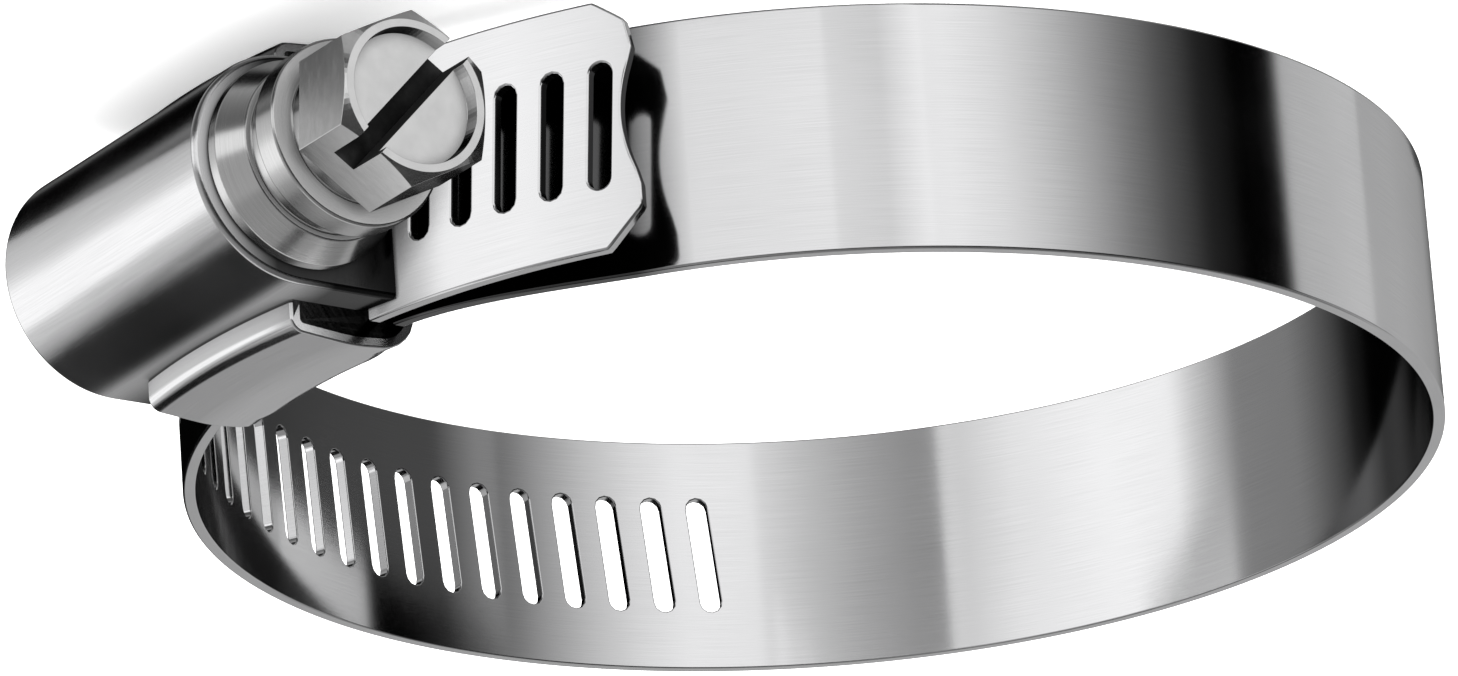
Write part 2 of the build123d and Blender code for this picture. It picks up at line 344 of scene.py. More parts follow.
def rim_rings(steps=3):
    """Through the strip from face to face, as (offset into the metal, depth, normal off it, out)."""
    out = []
    for s in spaced(0, pi / 2, steps):
        offset, drop = TOP_RIM * (1 - sin(s)), TOP_RIM * (1 - cos(s))
        out.append((offset, HALF_THICKNESS - drop, sin(s), cos(s)))
    for s in spaced(0, pi / 2, steps):
        offset, rise = UNDER_RIM * (1 - cos(s)), UNDER_RIM * (1 - sin(s))
        out.append((offset, rise - HALF_THICKNESS, cos(s), -sin(s)))
    return out


def edge_profile():
    """From the outer face round the strip's slit edge to the inner face: (z, depth, normal z, out)."""
    rim = [(HALF_WIDTH - offset, depth, flat, out) for offset, depth, flat, out in rim_rings(4)]
    return [(CELL_REACH, HALF_THICKNESS, 0, 1), *rim, (CELL_REACH, -HALF_THICKNESS, 0, -1)]


def slot_loop(side_steps, end_steps):
    """Round a slot's wall, leaning as the worm's thread does: (along, z, outward along, outward z)."""
    half, straight = SLOT_WIDTH / 2, (SLOT_LENGTH - SLOT_WIDTH) / 2
    loop = []
    for way in (1, -1):
        side = spaced(-straight * way, straight * way, side_steps)[:-1]
        loop += [(half * way, z, way, 0) for z in side]
        for s in spaced(0, pi, end_steps)[:-1]:
            na, nz = way * cos(s), way * sin(s)
            loop.append((half * na, straight * way + half * nz, na, nz))
    lean_cos, lean_sin = cos(HELIX), sin(HELIX)
    return [
        (a * lean_cos - z * lean_sin, a * lean_sin + z * lean_cos,
         na * lean_cos - nz * lean_sin, na * lean_sin + nz * lean_cos)
        for a, z, na, nz in loop
    ]


def slot_wall(skin, angle, wall):
    """The rounded wall of a slot. Returns its rings of point numbers."""
    rings = [
        [
            on_strip(skin, angle, a + na * off, depth, z + nz * off, (-na * flat, out, -nz * flat))
            for a, z, na, nz in wall
        ]
        for off, depth, flat, out in rim_rings()
    ]
    skin.rows(rings, closed=True)
    return rings


def slot_cell(skin, angle, reach_back, reach_on):
    """One slot with the strip round it, from reach_back before its middle to reach_on after it."""
    wall = slot_loop(SIDE_STEPS, END_STEPS)
    outer = []
    for here, on, z in ((reach_on, reach_back, CELL_REACH), (reach_back, reach_on, -CELL_REACH)):
        outer += [(here, level) for level in spaced(-z, z, SIDE_STEPS)[:-1]]
        outer += [(a, z) for a in spaced(here, on, END_STEPS)[:-1]]
    rings = slot_wall(skin, angle, wall)
    for ring, way in ((rings[0], 1), (rings[-1], -1)):
        edge = [on_strip(skin, angle, a, way * HALF_THICKNESS, z, (0, way, 0)) for a, z in outer]
        skin.strip(ring, edge, closed=True)


def tail_outline():
    """The tail's outline past its last slot, from the -Z edge to the +Z edge: (along, z)."""
    tip = TAIL_LENGTH + SLOT_WIDTH
    scoop = [
        (tip - SCOOP_DEPTH * sin(pi * s) ** SCOOP_ROUNDNESS, SCOOP_START + s * SCOOP_WIDTH)
        for s in spaced(0, 1, 16)
    ]
    low_corner = [(tip - short, inward - HALF_WIDTH) for short, inward in LOW_CORNER]
    high_corner = [(tip, HALF_WIDTH - TAIL_CHAMFER), (tip - TAIL_CHAMFER, HALF_WIDTH)]
    return low_corner + scoop + high_corner


def ray_hit(line, way):
    """Where a ray from the origin first crosses a line: (point, normal to the right of the line)."""
    best = None
    for (a, b), (c, d) in zip(line, line[1:]):
        along = Vector((c - a, d - b))
        cross = way.x * along.y - way.y * along.x
        if abs(cross) < 1e-12:
            continue
        reach = (a * along.y - b * along.x) / cross
        share = (a * way.y - b * way.x) / cross
        if reach > 0 and -1e-9 <= share <= 1 + 1e-9 and (best is None or reach < best[0]):
            best = (reach, Vector((along.y, -along.x)).normalized())
    return way * best[0], best[1]


def tail_edge(wall, reach_back):
    """The strip's outline seen from the last slot's middle: (point, way out, on a free edge)."""
    back_line = [(reach_back, -HALF_WIDTH), (reach_back, HALF_WIDTH)]
    smooth = rounded([back_line[0], *tail_outline(), back_line[1]], TAIL_ROUNDING, steps=3)
    closed = [(a, b) for a, b, _, _ in smooth] + [back_line[0]]
    hits = []
    for a, z, _, _ in wall:
        point, out = ray_hit(closed, Vector((a, z)).normalized())
        hits.append((point, out, point.x > reach_back + NEAR))
    for i in range(len(hits)):
        if hits[i][2] == hits[i - 1][2]:
            continue
        side = 1 if hits[i][0].y > 0 else -1
        for k in (i, i - 1):
            out = Vector((0, side)) if hits[k][2] else hits[k][1]
            hits[k] = (Vector((reach_back, side * HALF_WIDTH)), out, hits[k][2])
    edge = []
    for i, (point, out, free) in enumerate(hits):
        near = [hits[(i + k) % len(hits)] for k in (-1, 0, 1)]
        aim = sum((n[1] for n in near if n[2]), Vector((0, 0))) if free else out
        edge.append((point, aim.normalized(), free))
    return edge


def tail_cell(skin, angle, reach_back):
    """The last slot with the whole end of the strip round it."""
    wall = slot_loop(TAIL_SIDE_STEPS, TAIL_END_STEPS)
    edge = tail_edge(wall, reach_back)
    for way, rim in ((1, TOP_RIM), (-1, UNDER_RIM)):
        flat = HALF_WIDTH - rim
        line = [
            point - out * rim if free else Vector((point.x, max(min(point.y, flat), -flat)))
            for point, out, free in edge
        ]
        skin.rows([
            [
                on_strip(skin, angle, (a + na * rim) * (1 - share) + e.x * share, way * HALF_THICKNESS,
                         (z + nz * rim) * (1 - share) + e.y * share, (0, way, 0))
                for (a, z, na, nz), e in zip(wall, line)
            ]
            for share in TAIL_ROWS
        ], closed=True)
    slot_wall(skin, angle, wall)
    start = next(i for i in range(len(edge)) if edge[i][2] and not edge[i - 1][2])
    free_edge = [hit for hit in edge[start:] + edge[:start] if hit[2]]
    rows = []
    for off, depth, flat, out in rim_rings(4):
        rows.append([
            on_strip(skin, angle, point.x - way.x * off, depth, point.y - way.y * off,
                     (way.x * flat, out, way.y * flat))
            for point, way, _ in free_edge
        ])
    skin.rows(rows)


def plain_rows(start, stop):
    """Clock angles for a stretch without slots."""
    return spaced(start, stop, max(1, ceil((stop - start) / PLAIN_STEP)))


def strip_piece(name, start, stop, slots=(), tail=False, closed_start=False, material=None):
    """A length of band between two clock angles, with its slots, and the tail past the last one."""
    skin = Skin()
    whole = slots[:-1] if tail else slots
    plain = [plain_rows(start, stop)]
    rows = plain[0]
    if slots:
        pitch = slots[1] - slots[0]
        low, high = slots[0] - pitch / 2, slots[0] + (len(whole) - 0.5) * pitch
        rows = spaced(low, high, END_STEPS * len(whole))
        plain = []
        if low > start + NEAR:
            plain.append(plain_rows(start, low))
            rows = plain[-1][:-1] + rows
        if not tail and stop > high + NEAR:
            plain.append(plain_rows(high, stop))
            rows = rows + plain[-1][1:]
    for way in (1, -1):
        edge = [
            [
                on_strip(skin, angle, 0, depth, way * z, (0, out, way * nz))
                for z, depth, nz, out in edge_profile()
            ]
            for angle in rows
        ]
        skin.rows(edge)
        if closed_start:
            skin.faces.append(tuple(edge[0]))
    for face in (1, -1):
        for stretch in plain:
            skin.rows([
                [
                    on_strip(skin, angle, 0, face * HALF_THICKNESS, z, (0, face, 0))
                    for z in (-CELL_REACH, CELL_REACH)
                ]
                for angle in stretch
            ])
    for angle in whole:
        reach = pitch / 2 * spine(angle)[2]
        slot_cell(skin, angle, -reach, reach)
    if tail:
        tail_cell(skin, slots[-1], -pitch / 2 * spine(slots[-1])[2])
    return skin.build(name, material or BAND_STEEL)


# ---------------- finishes


class Nodes:
    """Adds nodes to an emptied node tree and links them."""

    def __init__(self, tree):
        self.tree = tree
        tree.nodes.clear()

    def add(self, kind, **values):
        """A node of a kind, with its settings."""
        made = self.tree.nodes.new("ShaderNode" + kind)
        for key, value in values.items():
            setattr(made, key, value)
        return made

    def link(self, output, socket):
        """Joins an output to an input."""
        self.tree.links.new(output, socket)

    def spread(self, value, low, high, to_low=0.0, to_high=1.0):
        """A value mapped from one range to another, held at both ends."""
        made = self.add("MapRange")
        for key, number in zip(("From Min", "From Max", "To Min", "To Max"), (low, high, to_low, to_high)):
            made.inputs[key].default_value = number
        self.link(value, made.inputs["Value"])
        return made.outputs["Result"]

    def maths(self, operation, one, two=None):
        """A sum on an output and a number or another output."""
        made = self.add("Math", operation=operation)
        self.link(one, made.inputs[0])
        if isinstance(two, (int, float)):
            made.inputs[1].default_value = two
        elif two is not None:
            self.link(two, made.inputs[1])
        return made.outputs[0]

    def noise(self, coordinates, stretch, detail):
        """Noise with its own number of features per metre, or per unit of UV, each way."""
        mapping = self.add("Mapping")
        mapping.inputs["Scale"].default_value = stretch
        self.link(coordinates, mapping.inputs["Vector"])
        made = self.add("TexNoise")
        made.inputs["Scale"].default_value = 1.0
        made.inputs["Detail"].default_value = detail
        self.link(mapping.outputs[0], made.inputs["Vector"])
        return made.outputs["Fac"]

    def bump(self, height, strength, distance, under=None):
        """A normal with small relief of a height in millimetres, over another normal if given."""
        made = self.add("Bump")
        made.inputs["Strength"].default_value = strength
        made.inputs["Distance"].default_value = distance * MM
        self.link(height, made.inputs["Height"])
        if under:
            self.link(under, made.inputs["Normal"])
        return made.outputs[0]


# painted shade in crevices: how far the occlusion looks, and the darkest tone
CREVICE_SHADE_REACH = 4.5
CREVICE_SHADE_TONE = 0.05
TONE_SPREAD = 0.02
GRAIN_SPREAD = 0.035
GRAIN_HEIGHT = 0.02
PIT_HEIGHT = 0.015
# painted shade in corners: how far a corner is shut in where the painted shade is full, and where it is gone
CORNER_SHUT = (0.25, 0.8)
SLOT_SHUT = (0.12, 0.5)
# painted shade over a stretch of the surface: (coordinates, axis, where it is clear, where it is full,
# darkest)
SHADE_BESIDE_TAIL = ("UV", "X", 24.2, 21.2, 0.14)
SHADE_OVER_BAND = ("Object", "Y", -0.0385, -0.0362, 0.06)
SHADE_ON_END_WALL = ("Object", "Y", -0.0435, -0.0395, 0.06)
# painted shade on reflections: how bright the strip is in its own mirror image
STRIP_IN_STRIP = 0.08


def steel(name, tone, roughness, grain, pitting, tint=1.01, drawn=True, shade_patch=None,
          shut=CORNER_SHUT, mirrored=1.0):
    """Bright steel: grain drawn out along the strip, fine pits, soft blotches, and painted shade in crevices
    and gaps.
    """
    material = bpy.data.materials.new(name)
    material.use_nodes = True
    nodes = Nodes(material.node_tree)
    spread, maths = nodes.spread, nodes.maths
    place = nodes.add("TexCoord")
    along, across = place.outputs["UV"], place.outputs["Object"]
    fine = nodes.noise(along, (0.25, 26, 1), 3.0) if drawn else nodes.noise(across, (2600, 900, 900), 3.0)
    hair = nodes.noise(along, (1.2, 60, 1), 2.0) if drawn else nodes.noise(across, (5200, 1400, 1400), 2.0)
    blotch = nodes.noise(across, (140, 140, 140), 3.0)
    speck = nodes.noise(across, (1600, 1600, 1600), 2.0)

    shade = spread(fine, 0.3, 0.7, -GRAIN_SPREAD, GRAIN_SPREAD)
    shade = maths("ADD", shade, spread(blotch, 0.3, 0.7, tone - TONE_SPREAD, tone + TONE_SPREAD))
    colour = nodes.add("CombineColor")
    nodes.link(shade, colour.inputs["Red"])
    nodes.link(shade, colour.inputs["Green"])
    nodes.link(maths("MULTIPLY", shade, tint), colour.inputs["Blue"])
    # painted shade: the colour darkens where ambient occlusion finds the clamp's own parts close by, in
    # corners, slots and gaps between parts
    crevice_shade = nodes.add("AmbientOcclusion", samples=16)
    crevice_shade.inputs["Distance"].default_value = CREVICE_SHADE_REACH * MM
    painted_shade = spread(crevice_shade.outputs["AO"], *shut, CREVICE_SHADE_TONE, 1.0)
    # painted shade: darker over a stretch of the surface, given by one coordinate
    if shade_patch:
        coordinates, axis, clear, full, darkest = shade_patch
        split = nodes.add("SeparateXYZ")
        nodes.link(place.outputs[coordinates], split.inputs[0])
        painted_shade = maths("MULTIPLY", painted_shade, spread(split.outputs[axis], clear, full, 1.0, darkest))
    # painted shade on reflections: the colour is darker in rays that come off a mirror
    if mirrored < 1:
        seen = nodes.add("LightPath").outputs["Is Glossy Ray"]
        painted_shade = maths("MULTIPLY", painted_shade, spread(seen, 0.0, 1.0, 1.0, mirrored))
    shaded_colour = nodes.add("VectorMath", operation="SCALE")
    nodes.link(colour.outputs[0], shaded_colour.inputs[0])
    nodes.link(painted_shade, shaded_colour.inputs["Scale"])

    rough = spread(blotch, 0.3, 0.7, roughness * 0.8, roughness * 1.2)
    rough = maths("ADD", rough, spread(hair, 0.55, 0.8, 0.0, 0.06))
    relief = nodes.bump(maths("ADD", fine, hair), grain, GRAIN_HEIGHT)
    relief = nodes.bump(speck, pitting, PIT_HEIGHT, relief)
    shader = nodes.add("BsdfPrincipled")
    shader.inputs["Metallic"].default_value = 1.0
    nodes.link(shaded_colour.outputs[0], shader.inputs["Base Color"])
    nodes.link(rough, shader.inputs["Roughness"])
    nodes.link(relief, shader.inputs["Normal"])
    output = nodes.add("OutputMaterial")
    nodes.link(shader.outputs[0], output.inputs["Surface"])
    return material


def strip_steel(name, shade_patch=None):
    """The band's steel."""
    return steel(name, 0.80, 0.09, 0.02, 0.012, shade_patch=shade_patch, shut=SLOT_SHUT, mirrored=STRIP_IN_STRIP)


def sheet_steel(name, shade_patch=None):
    """The steel of the housing and saddle."""
    return steel(name, 0.78, 0.14, 0.05, 0.05, shade_patch=shade_patch)


BAND_STEEL = strip_steel("band_steel")
# painted shade: the strip's fixed end under the tail, the housing just over the band and the front end wall
# are darkened
SHADED_STEEL = strip_steel("strip_under_tail_steel", SHADE_BESIDE_TAIL)
HOUSING_STEEL = sheet_steel("housing_steel", SHADE_OVER_BAND)
END_WALL_SHADED_STEEL = sheet_steel("end_wall_steel", SHADE_ON_END_WALL)
SADDLE_STEEL = sheet_steel("saddle_steel")
SCREW_STEEL = steel("screw_steel", 0.68, 0.19, 0.08, 0.06, tint=1.0)
HEAD_STEEL = steel("screw_head_steel", 0.74, 0.15, 0.06, 0.06, tint=1.0, drawn=False)
# painted shade: the driver slot's faces get near-black steel
GROOVE_SHADE_STEEL = steel("driver_slot_steel", 0.07, 0.45, 0.1, 0.2, tint=1.0, drawn=False)

# ---------------- band pieces

FIXED_HINGES = spaced(FIXED_END_ANGLE, JUNCTION_ANGLE, 4)
SPAN_8_STOP = JOIN_ANGLE - SPAN_SLOTS[0] * SPAN_PITCH
SLOTTED_HINGES = [JOIN_ANGLE] + spaced(SPAN_8_STOP, JUNCTION_ANGLE, 3)
SPAN_8_SLOTS = [JOIN_ANGLE - (n + 0.5) * SPAN_PITCH for n in range(SPAN_SLOTS[0])]
SPAN_7_SLOTS = [SPAN_8_STOP - (n + 0.5) * SPAN_PITCH for n in range(SPAN_SLOTS[1])]


def bend(piece, hinge, first, second):
    """Bakes the piece's placement into its mesh."""
    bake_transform(piece)


def middle(hinges, index):
    """Half way along a span."""
    return (hinges[index] + hinges[index + 1]) / 2


def build_band():
    """One strip in pieces that meet half way along the spans."""
    fixed = FIXED_HINGES
    stop = middle(fixed, 0)
    piece = strip_piece("strip_fixed_end", REAR_ANGLE, stop, closed_start=True, material=SHADED_STEEL)
    # only the outer face has the painted shade
    piece.data.materials.append(BAND_STEEL)
    for face in piece.data.polygons:
        face.material_index = int(face.normal.xy.dot(face.center.xy) < 0)
    bend(piece, fixed[0], "housing", "band_span_1")
    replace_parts(piece, "band_fixed_end")
    for n in (1, 2, 3):
        piece = strip_piece(f"strip_{n}_{n + 1}", middle(fixed, n - 1), middle(fixed, n))
        bend(piece, fixed[n], f"band_span_{n}", f"band_span_{n + 1}")
        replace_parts(piece, f"band_span_{n}")
    piece = strip_piece("strip_4_end", middle(fixed, 3), JUNCTION_ANGLE)
    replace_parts(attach(piece, "band_span_4"), "band_span_4")

    slotted = SLOTTED_HINGES
    slots = sorted(SPAN_8_SLOTS + SPAN_7_SLOTS)
    # a cut that would run through a slot moves to the steel before it
    cuts = []
    for n in (3, 2, 1, 0):
        near = [a for a in slots if abs(a - middle(slotted, n)) < SPAN_PITCH / 2]
        cuts.append(near[0] - SPAN_PITCH / 2 if near else middle(slotted, n))
    piece = strip_piece("strip_5_end", JUNCTION_ANGLE, cuts[0])
    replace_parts(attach(piece, "band_span_5"), "band_span_5")
    for n, (start, stop) in enumerate(zip(cuts, cuts[1:])):
        inside = [a for a in slots if start < a < stop]
        bodies = (f"band_span_{5 + n}", f"band_span_{6 + n}")
        piece = strip_piece(f"strip_{5 + n}_{6 + n}", start, stop, inside)
        bend(piece, slotted[3 - n], *bodies)
        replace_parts(piece, f"band_span_{6 + n}")
    inside = [a for a in slots if a > cuts[-1]]
    span_part = strip_piece("strip_8_free_end", cuts[-1], JOIN_ANGLE, inside)
    free_slots = [360 + n * FREE_PITCH for n in range(LAST_FREE_SLOT, FIRST_SLOT + 1)]
    free_part = strip_piece("strip_free_end", JOIN_ANGLE, free_slots[-1], free_slots, tail=True)
    for piece, node in ((span_part, "band_span_8"), (free_part, "band_free_end")):
        bend(piece, slotted[0], "band_span_8", "band_free_end")
        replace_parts(piece, node)


build_band()

# ---------------- pressed sheet


SHEET_RIM = 0.12
SHEET_STEP = 0.45
LIP_FOLD = 0.42
WALL_CROWN = 0.3
WALL_ROUNDING = 9.0
END_SOFTENING = 2.4
END_BEND = 1.6
RIM_ROLL = 0.32
HOLE_ROLL = 0.12
FOOT_FOLD = 0.4
FOOT_ROOT = 2.4
FOOT_INSET = 0.2


def sheet_section(corners, radii, thickness):
    """Closed outline of a bent sheet from the corners of its middle line: (a, b, normal a, normal b)."""
    line = rounded(corners, radii, 6)
    half, rim = thickness / 2, SHEET_RIM
    left = [(a + na * half, b + nb * half, na, nb) for a, b, na, nb in line]
    right = [(a - na * half, b - nb * half, -na, -nb) for a, b, na, nb in reversed(line)]
    out = []
    for side, (a, b, na, nb), way in ((left, line[-1], 1), (right, line[0], -1)):
        na, nb = na * way, nb * way
        da, db = nb, -na
        side[-1] = (side[-1][0] - da * rim, side[-1][1] - db * rim, *side[-1][2:])
        out += side
        for sign in (1, -1):
            hub = (a + na * sign * (half - rim) - da * rim, b + nb * sign * (half - rim) - db * rim)
            for step in (1, 2, 3) if sign > 0 else (0, 1, 2):
                spin = pi / 2 * step / 3
                up, on = (cos(spin), sin(spin)) if sign > 0 else (-sin(spin), cos(spin))
                aim = (na * up + da * on, nb * up + db * on)
                out.append((hub[0] + aim[0] * rim, hub[1] + aim[1] * rim, *aim))
    # each side starts a rim short of the sheet's edge, as it stops
    for i, da, db in ((0, -line[0][3], line[0][2]), (len(left) + 6, line[-1][3], -line[-1][2])):
        a, b, na, nb = out[i]
        out[i] = (a - da * rim, b - db * rim, na, nb)
    return out


def on_saddle(skin, x, radius, z, normal):
    """Adds a point of the curved sheets over the band at a place along the screw."""
    lean = (SADDLE_CENTER.x - x) / radius
    point = Vector((x, SADDLE_CENTER.y - radius * sqrt(1 - lean * lean), z))
    aim = Vector((-lean, -sqrt(1 - lean * lean), 0)) * normal[0] + Z_AXIS * normal[1]
    return skin.add(point, aim + Vector((normal[2], 0, 0)), (x, z + radius))


def curved_sheet(skin, section_at, front, back):
    """A bent sheet that follows the saddle's curve, with rounded ends."""
    rim = SHEET_RIM
    rows = []
    for place, way in ((front, -1), (back, 1)):
        rings = []
        for spin in spaced(0, pi / 2, 3):
            inset, shift = rim * (1 - cos(spin)), rim * (1 - sin(spin))
            rings.append([
                on_saddle(skin, place - way * shift, a - na * inset, b - nb * inset,
                          (na * cos(spin), nb * cos(spin), way * sin(spin)))
                for a, b, na, nb in section_at(place)
            ])
        cap = [
            on_saddle(skin, place, a - na * rim, b - nb * rim, (0, 0, way))
            for a, b, na, nb in section_at(place)
        ]
        skin.faces.append(tuple(cap))
        rows.append(rings)
    count = max(2, round((back - front - 2 * rim) / SHEET_STEP))
    between = [
        [on_saddle(skin, x, a, b, (na, nb, 0)) for a, b, na, nb in section_at(x)]
        for x in spaced(front + rim, back - rim, count)[1:-1]
    ]
    skin.rows(list(reversed(rows[0])) + between + rows[1], closed=True)


def build_saddle():
    """A tray of sheet under the band, its sides folded in over the housing's feet."""
    half = SADDLE_THICKNESS / 2
    low, high = SADDLE_INNER_RADIUS + half, LIP_TOP_RADIUS - half
    wide = SADDLE_HALF_WIDTH - half
    belly = (low + high) / 2

    def section_at(x):
        """The tray's section, with softer lower bends towards its two ends."""
        near = min(x - SADDLE_FRONT, SADDLE_BACK - x)
        soft = max(0, 1 - near / END_SOFTENING)
        bend_radius = SADDLE_BEND - half + END_BEND * soft * soft
        corners = [(high, LIP_EDGE), (high, wide - WALL_CROWN), (belly, wide), (low, wide - WALL_CROWN)]
        corners += [(a, -z) for a, z in reversed(corners)]
        radii = [0, LIP_FOLD, WALL_ROUNDING, bend_radius]
        return sheet_section(corners, radii + radii[::-1], SADDLE_THICKNESS)

    skin = Skin()
    curved_sheet(skin, section_at, SADDLE_FRONT, SADDLE_BACK)
    piece = skin.build("saddle_sheet", SADDLE_STEEL)
    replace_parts(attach(piece, "housing"), "saddle")


def skirt_bottom(x):
    """Y of the housing's lower edge, just above the band, at a place along the screw."""
    return SADDLE_CENTER.y - sqrt(FOOT_INNER_RADIUS**2 - (SADDLE_CENTER.x - x) ** 2)


def barrel_line(inset, x):
    """End view of the barrel from the foot of one skirt over the top to the other: (y, z, normal)."""
    radius = BARREL_RADIUS - inset
    low = skirt_bottom(x)
    line = [(y, radius, 0, 1) for y in spaced(low, -AXIS_DISTANCE, 6)[:-1]]
    line += [
        (-AXIS_DISTANCE - radius * sin(spin), radius * cos(spin), -sin(spin), cos(spin))
        for spin in spaced(0, pi, 56)
    ]
    return line + [(y, -radius, 0, -1) for y in spaced(-AXIS_DISTANCE, low, 6)[1:]]


def end_wall(skin, x, way, inset, hole):
    """Flat end of the barrel round the screw's hole, and its straight bottom edge above the band."""
    line = [Vector((y, z)) for y, z, _, _ in barrel_line(inset, x)]
    radius = BARREL_RADIUS - inset
    line += [Vector((skirt_bottom(x), z)) for z in spaced(-radius, radius, 12)[1:-1]]
    hub = Vector((-AXIS_DISTANCE, 0))
    rows = []
    for share in (0, 0.5, 1):
        places = [at.lerp(hub + (at - hub).normalized() * hole, share) for at in line]
        rows.append([skin.add((x, y, z), (way, 0, 0), (z, y)) for y, z in places])
    skin.rows(rows, closed=True)


def hole_rim(skin, x, way, hole):
    """The rounded edge and wall of a hole in an end wall."""
    rows = []
    for spin in spaced(0, pi / 2, 3):
        inset, grown = HOLE_ROLL * (1 - cos(spin)), HOLE_ROLL * (1 - sin(spin))
        rows.append((x - way * inset, hole + grown, cos(spin) * way, -sin(spin)))
    rows.append((x - way * HOUSING_THICKNESS, hole, 0, -1))
    skin.rows([
        [
            skin.add((a, -AXIS_DISTANCE + r * cos(s), r * sin(s)), (na, nr * cos(s), nr * sin(s)), (a, s))
            for s in spaced(0, 2 * pi, 72)[:-1]
        ]
        for a, r, na, nr in rows
    ], closed=True)


def end_roll(x, way):
    """Over the barrel's rolled end edge, from the end inward: (x, inset, normal along x, out)."""
    return [
        (x - way * RIM_ROLL * (1 - cos(s)), RIM_ROLL * (1 - sin(s)), way * cos(s), sin(s))
        for s in spaced(0, pi / 2, 5)
    ]


def build_barrel(skin):
    """The barrel's outer and inner skins, and the lower edges of its skirts."""
    along = spaced(BARREL_FRONT + RIM_ROLL, BARREL_BACK - RIM_ROLL, 30)[1:-1]
    rows = end_roll(BARREL_FRONT, -1) + [(x, 0, 0, 1) for x in along] + end_roll(BARREL_BACK, 1)[::-1]
    skin.rows([
        [skin.add((x, y, z), (way, ny * out, nz * out), (x, y - z)) for y, z, ny, nz in barrel_line(inset, x)]
        for x, inset, way, out in rows
    ])
    skin.rows([
        [skin.add((x, y, z), (0, -ny, -nz), (x, y - z)) for y, z, ny, nz in barrel_line(HOUSING_THICKNESS, x)]
        for x in spaced(BARREL_FRONT + HOUSING_THICKNESS, BARREL_BACK - HOUSING_THICKNESS, 24)
    ])
    for side in (1, -1):
        skin.rows([
            [
                skin.add((x, skirt_bottom(x), side * (BARREL_RADIUS - inset)), (0, 1, 0), (x, inset))
                for inset in (0, HOUSING_THICKNESS)
            ]
            for x in spaced(BARREL_FRONT, BARREL_BACK, 30)
        ])


def build_ends(skin):
    """Both end walls of the barrel, with the screw's holes."""
    for x, way, hole in ((BARREL_FRONT, -1, FRONT_HOLE_RADIUS), (BARREL_BACK, 1, BACK_HOLE_RADIUS)):
        end_wall(skin, x, way, RIM_ROLL, hole + HOLE_ROLL)
        end_wall(skin, x - way * HOUSING_THICKNESS, -way, HOUSING_THICKNESS, hole)
        hole_rim(skin, x, way, hole)
        skin.rows([
            [skin.add((at, skirt_bottom(at), z), (0, 1, 0), (at, z)) for z in (-BARREL_RADIUS, BARREL_RADIUS)]
            for at in (x, x - way * HOUSING_THICKNESS)
        ])


def build_feet(skin):
    """The hooked feet that the saddle's lips hold."""
    half = FOOT_THICKNESS / 2
    sole, hook = FOOT_INNER_RADIUS + half, FOOT_HALF_WIDTH - half
    root = BARREL_RADIUS - HOUSING_THICKNESS / 2
    for side in (1, -1):
        corners = [
            (sole + FOOT_ROOT, root * side), (sole, root * side),
            (sole, hook * side), (FOOT_TOP_RADIUS, hook * side),
        ]
        section = sheet_section(corners, [0, FOOT_FOLD, FOOT_FOLD, 0], FOOT_THICKNESS)
        front, back = SADDLE_FRONT + FOOT_INSET, SADDLE_BACK - FOOT_INSET
        curved_sheet(skin, lambda x, line=section: line, front, back)


def build_housing():
    """The pressed housing: barrel with rolled end edges, end walls, skirts and hooked feet."""
    skin = Skin()
    build_barrel(skin)
    build_ends(skin)
    build_feet(skin)
    piece = skin.build("housing_sheet", HOUSING_STEEL)
    # the front end wall takes the steel with painted shade
    piece.data.materials.append(END_WALL_SHADED_STEEL)
    for face in piece.data.polygons:
        if face.center.x < (BARREL_FRONT + HOLE_ROLL) * MM and face.normal.x < -0.9:
            face.material_index = 1
    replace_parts(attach(piece, "housing"), "housing")


# ---------------- screw

TURN_STEPS = 96
TIP_CHAMFER = 0.7
THREAD_FADE = 1.2
THREAD_SLOPE_STEP = 0.02
WORM_BACK = SCREW_TIP - 0.75
WORM_FRONT = SHOULDER_FRONT + 1.5
CHAMFER_START = 3.875
CHAMFER_SLOPE = 0.55
EDGE_BREAK = 0.1
HEX_CORE_RADIUS = HEX_ACROSS_FLATS / 2 - 0.3
RECESS_DRAFT = 0.1
GROOVE_DRAFT = 0.03


def worm_radius(x, spin):
    """Radius of the worm's surface at a place along it and round it, with the thread run out."""
    phase = ((x - FREE_CENTER.x) / SLOT_PITCH - spin / (2 * pi) + 0.5) % 1 - 0.5
    away = abs(phase) * SLOT_PITCH
    crest, root = THREAD_CREST_WIDTH / 2, THREAD_ROOT_WIDTH / 2
    share = min(max((root - away) / (root - crest), 0), 1)
    share = share * share * (3 - 2 * share)
    run_out = min(max((THREAD_START - x) / THREAD_FADE, 0), 1)
    return WORM_ROOT_RADIUS + (WORM_CREST_RADIUS - WORM_ROOT_RADIUS) * share * run_out


def screw_ring(skin, x, radius, along, out):
    """One turned ring of the screw."""
    ring = []
    for s in spaced(0, 2 * pi, TURN_STEPS)[:-1]:
        point = (x, -AXIS_DISTANCE + radius * cos(s), radius * sin(s))
        ring.append(skin.add(point, (along, out * cos(s), out * sin(s)), (s * radius, x - radius)))
    return ring


def turned(skin, corners, radii):
    """A turned stretch of the screw from (x, radius) corners that run from the tip to the head."""
    rows = [screw_ring(skin, x, r, -nx, -nr) for x, r, nx, nr in rounded(corners, radii, 3)]
    skin.rows(rows, closed=True)


